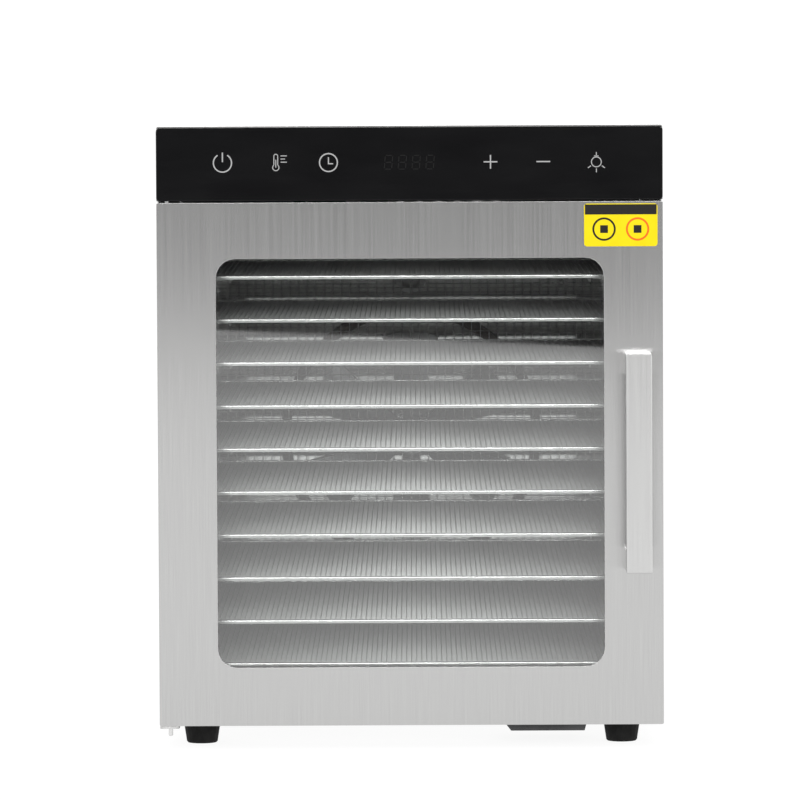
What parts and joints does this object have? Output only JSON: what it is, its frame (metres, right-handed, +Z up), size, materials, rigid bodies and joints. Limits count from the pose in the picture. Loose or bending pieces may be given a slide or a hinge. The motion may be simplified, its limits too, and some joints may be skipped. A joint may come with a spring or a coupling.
{
  "type": "food dehydrator",
  "caption": "Upright brushed-steel food dehydrator: glazed side-hinged door with bar handle, touch panel above, wire mesh trays on ledges, rear fan and ring heater, rubber feet.",
  "frame": {"origin": "on the floor, under the middle of the object's box", "axes": "+Z up, the door faces -Y, +X to the right as seen from the front"},
  "size_m": [0.34, 0.45, 0.42],
  "materials": {
    "case_steel": "stainless sheet with a fine upright brushed grain",
    "inner_steel": "plain cold-rolled stainless sheet",
    "bright_steel": "drawn stainless wire and rod",
    "tray_steel": "woven stainless mesh in a folded rim",
    "dark_steel": "dark grey coated steel",
    "panel_glass": "gloss black back-printed glass",
    "clear_glass": "clear toughened float glass",
    "lamp_glass": "clear heat-proof glass",
    "ceramic": "unglazed steatite",
    "black_plastic": "moulded matte black",
    "circuit_board": "green solder mask",
    "rubber": "matte black rubber",
    "silicone": "grey extruded silicone",
    "aluminium": "stamped sheet",
    "brass": "turned",
    "sticker_film": "printed yellow and black film, no lettering"
  },
  "bodies": {
    "cabinet": {"outer_case": "case_steel", "bottom_panel": "inner_steel", "bottom_vent_cover": "dark_steel", "rear_panel": "case_steel", "power_inlet": "black_plastic", "front_frame": "inner_steel", "chamber_floor": "inner_steel", "chamber_ceiling": "inner_steel", "tray_rack_left": "inner_steel", "tray_rack_right": "inner_steel", "rear_bulkhead": "inner_steel", "fan_guard": "bright_steel", "temperature_probe": "bright_steel", "thermal_cutout": "aluminium", "lamp_lens": "lamp_glass", "lamp_bulb": "lamp_glass", "lamp_holder": "ceramic", "foot_front_left": "rubber", "foot_front_right": "rubber", "foot_back_left": "rubber", "foot_back_right": "rubber", "control_glass": "panel_glass", "panel_housing": "black_plastic", "touch_board": "circuit_board", "display_module": "black_plastic", "power_board": "circuit_board", "motor_bracket": "dark_steel", "fan_motor": "dark_steel", "motor_cover": "case_steel", "heater_element": "dark_steel", "heater_clip_left": "ceramic", "heater_clip_right": "ceramic", "hinge_bracket_bottom": "inner_steel", "hinge_pin_bottom": "bright_steel", "hinge_bracket_top": "inner_steel", "hinge_pin_top": "bright_steel", "catch_magnet": "dark_steel"},
    "door": {"door_shell": "case_steel", "door_inner_frame": "inner_steel", "door_glass": "clear_glass", "door_gasket": "silicone", "door_handle": "case_steel", "handle_screw_bottom": "bright_steel", "handle_screw_top": "bright_steel", "strike_plate": "bright_steel", "door_sticker": "sticker_film"},
    "fan": {"fan_impeller": "aluminium", "fan_nut": "brass", "motor_shaft": "bright_steel"},
    "tray_body_01": {"tray_01": "tray_steel"},
    "tray_body_02": {"tray_02": "tray_steel"},
    "tray_body_03": {"tray_03": "tray_steel"},
    "tray_body_04": {"tray_04": "tray_steel"},
    "tray_body_05": {"tray_05": "tray_steel"},
    "tray_body_06": {"tray_06": "tray_steel"},
    "tray_body_07": {"tray_07": "tray_steel"},
    "tray_body_08": {"tray_08": "tray_steel"},
    "tray_body_09": {"tray_09": "tray_steel"},
    "tray_body_10": {"tray_10": "tray_steel"}
  },
  "joints": [
    {"name": "door_hinge", "type": "hinge", "parent": "cabinet", "child": "door", "pos_m": [-0.163, -0.185, 0.19], "axis": [0, 0, -1], "range_deg": [0, 120]},
    {"name": "fan_spin", "type": "hinge", "parent": "cabinet", "child": "fan", "pos_m": [0, 0.168, 0.188], "axis": [0, 1, 0], "continuous": true},
    {"name": "tray_slide_01", "type": "slide", "parent": "cabinet", "child": "tray_body_01", "axis": [0, -1, 0], "range_m": [0, 0.006]},
    {"name": "tray_slide_02", "type": "slide", "parent": "cabinet", "child": "tray_body_02", "axis": [0, -1, 0], "range_m": [0, 0.006]},
    {"name": "tray_slide_03", "type": "slide", "parent": "cabinet", "child": "tray_body_03", "axis": [0, -1, 0], "range_m": [0, 0.006]},
    {"name": "tray_slide_04", "type": "slide", "parent": "cabinet", "child": "tray_body_04", "axis": [0, -1, 0], "range_m": [0, 0.006]},
    {"name": "tray_slide_05", "type": "slide", "parent": "cabinet", "child": "tray_body_05", "axis": [0, -1, 0], "range_m": [0, 0.006]},
    {"name": "tray_slide_06", "type": "slide", "parent": "cabinet", "child": "tray_body_06", "axis": [0, -1, 0], "range_m": [0, 0.006]},
    {"name": "tray_slide_07", "type": "slide", "parent": "cabinet", "child": "tray_body_07", "axis": [0, -1, 0], "range_m": [0, 0.006]},
    {"name": "tray_slide_08", "type": "slide", "parent": "cabinet", "child": "tray_body_08", "axis": [0, -1, 0], "range_m": [0, 0.006]},
    {"name": "tray_slide_09", "type": "slide", "parent": "cabinet", "child": "tray_body_09", "axis": [0, -1, 0], "range_m": [0, 0.006]},
    {"name": "tray_slide_10", "type": "slide", "parent": "cabinet", "child": "tray_body_10", "axis": [0, -1, 0], "range_m": [0, 0.006]}
  ]
}
